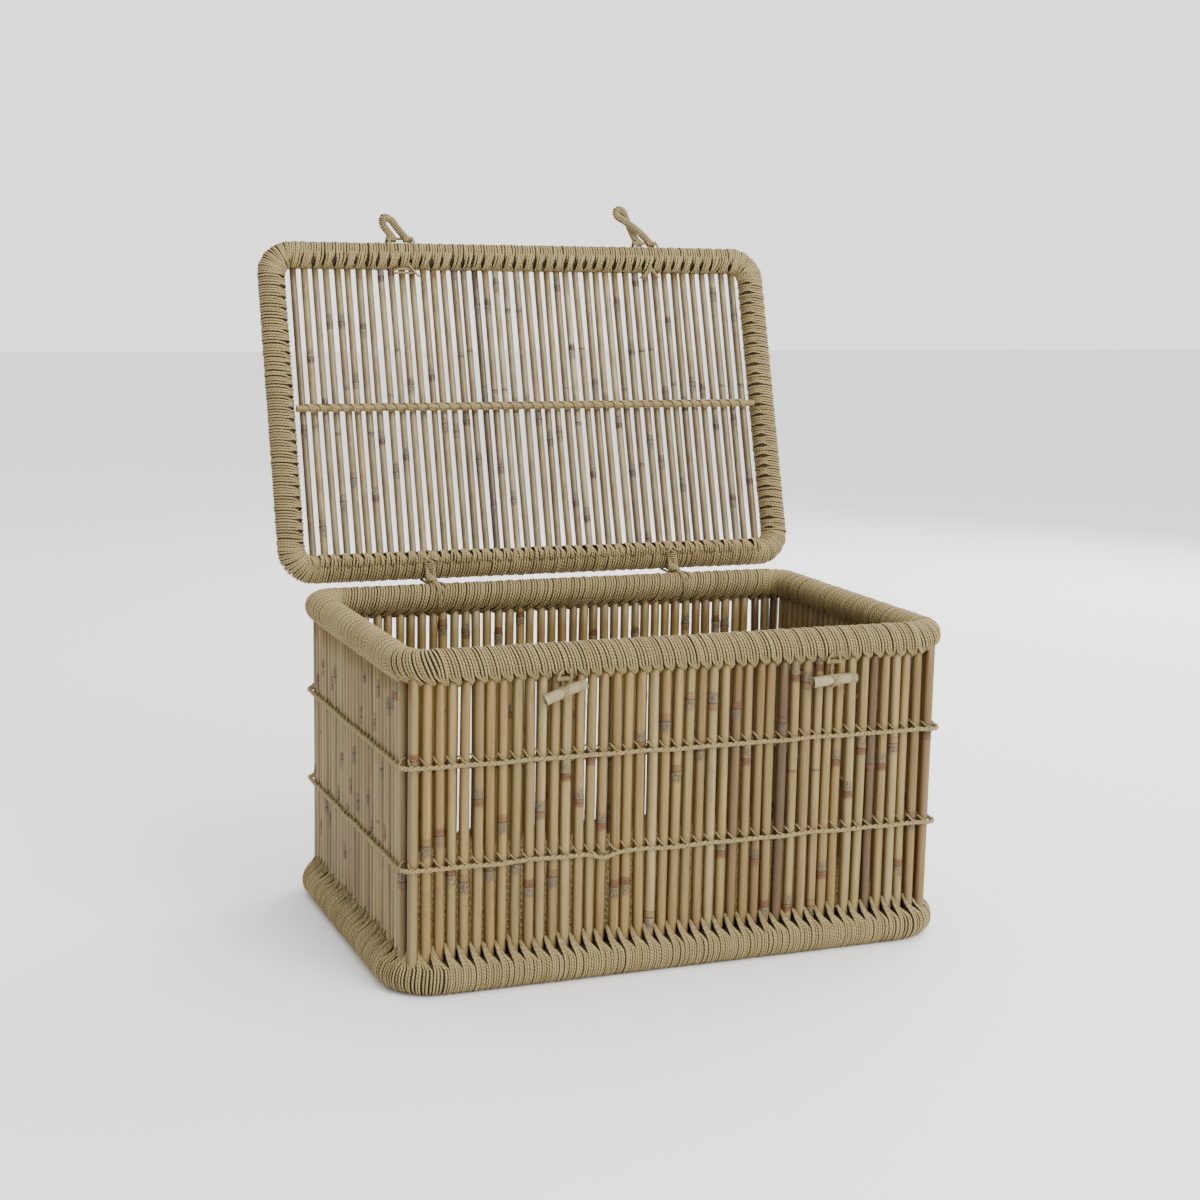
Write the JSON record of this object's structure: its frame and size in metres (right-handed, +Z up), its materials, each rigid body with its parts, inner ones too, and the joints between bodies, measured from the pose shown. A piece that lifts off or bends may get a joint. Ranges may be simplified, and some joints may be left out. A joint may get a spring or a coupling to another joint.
{
  "type": "cane storage trunk",
  "caption": "Rectangular storage trunk of upright canes bound with twine, with a hinged cane lid, cord closure loops and cane toggles.",
  "frame": {"origin": "centre of the footprint, on the plane that the base roll rests on", "axes": "+Z up, +X to the right seen from the front, -Y to the front where the toggles are"},
  "size_m": [0.68, 0.5962, 0.8257],
  "materials": {
    "wall_cane": "satin natural cane skin with node rings",
    "lid_cane": "glossier thin natural cane",
    "floor_cane": "natural cane",
    "floor_weave": "plain weave of twisted seagrass twine",
    "hoop_cane": "bare bent cane, hidden",
    "twine_wrap": "matt twisted seagrass twine",
    "toggle_cane": "cut cane, matt",
    "weft_cord": "matt two-strand cord",
    "tie_cord": "matt wrapped cord"
  },
  "bodies": {
    "trunk": {"front_canes": "wall_cane", "back_canes": "wall_cane", "left_canes": "wall_cane", "right_canes": "wall_cane", "floor_canes": "floor_cane", "floor_mat": "floor_weave", "base_hoop": "hoop_cane", "base_wrap": "twine_wrap", "rim_hoop": "hoop_cane", "rim_wrap": "twine_wrap", "weft_upper_outer": "weft_cord", "weft_upper_inner": "weft_cord", "weft_lower_outer": "weft_cord", "weft_lower_inner": "weft_cord", "hinge_pin_left": "tie_cord", "hinge_pin_right": "tie_cord", "hinge_rim_tie_left": "tie_cord", "hinge_rim_tie_right": "tie_cord", "toggle_anchor_left": "tie_cord", "toggle_anchor_right": "tie_cord"},
    "lid": {"lid_hoop": "hoop_cane", "lid_canes": "lid_cane", "lid_crossbar": "hoop_cane", "lid_crossbar_wrap": "twine_wrap", "lid_wrap": "twine_wrap", "hinge_lid_tie_left": "tie_cord", "hinge_lid_tie_right": "tie_cord", "loop_anchor_left": "tie_cord", "loop_anchor_right": "tie_cord", "loop_knot_left": "tie_cord", "loop_knot_right": "tie_cord"},
    "loop_left": {"loop_left": "tie_cord"},
    "tether_left": {"toggle_tether_left": "tie_cord"},
    "toggle_left": {"toggle_left": "toggle_cane"},
    "loop_right": {"loop_right": "tie_cord"},
    "tether_right": {"toggle_tether_right": "tie_cord"},
    "toggle_right": {"toggle_right": "toggle_cane"}
  },
  "joints": [
    {"name": "lid_hinge", "type": "hinge", "parent": "trunk", "child": "lid", "pos_m": [0, 0.2172, 0.36676], "axis": [1, 0, 0], "range_deg": [0, 106.3]},
    {"name": "loop_left_hinge", "type": "hinge", "parent": "lid", "child": "loop_left", "pos_m": [-0.157, 0.35762, 0.77766], "axis": [1, 0, 0], "range_deg": [-45, 75]},
    {"name": "loop_right_hinge", "type": "hinge", "parent": "lid", "child": "loop_right", "pos_m": [0.175, 0.35762, 0.77766], "axis": [1, 0, 0], "range_deg": [-45, 75]},
    {"name": "tether_left_swing", "type": "hinge", "parent": "trunk", "child": "tether_left", "pos_m": [-0.1405, -0.206, 0.3295], "axis": [-1, 0, 0], "range_deg": [0, 55]},
    {"name": "toggle_left_tilt", "type": "hinge", "parent": "tether_left", "child": "toggle_left", "pos_m": [-0.1405, -0.2102, 0.3162], "axis": [0, -1, 0], "range_deg": [-40, 3]},
    {"name": "tether_right_swing", "type": "hinge", "parent": "trunk", "child": "tether_right", "pos_m": [0.1746, -0.206, 0.3295], "axis": [-1, 0, 0], "range_deg": [0, 55]},
    {"name": "toggle_right_tilt", "type": "hinge", "parent": "tether_right", "child": "toggle_right", "pos_m": [0.1746, -0.2102, 0.3094], "axis": [0, -1, 0], "range_deg": [-40, 35]}
  ]
}
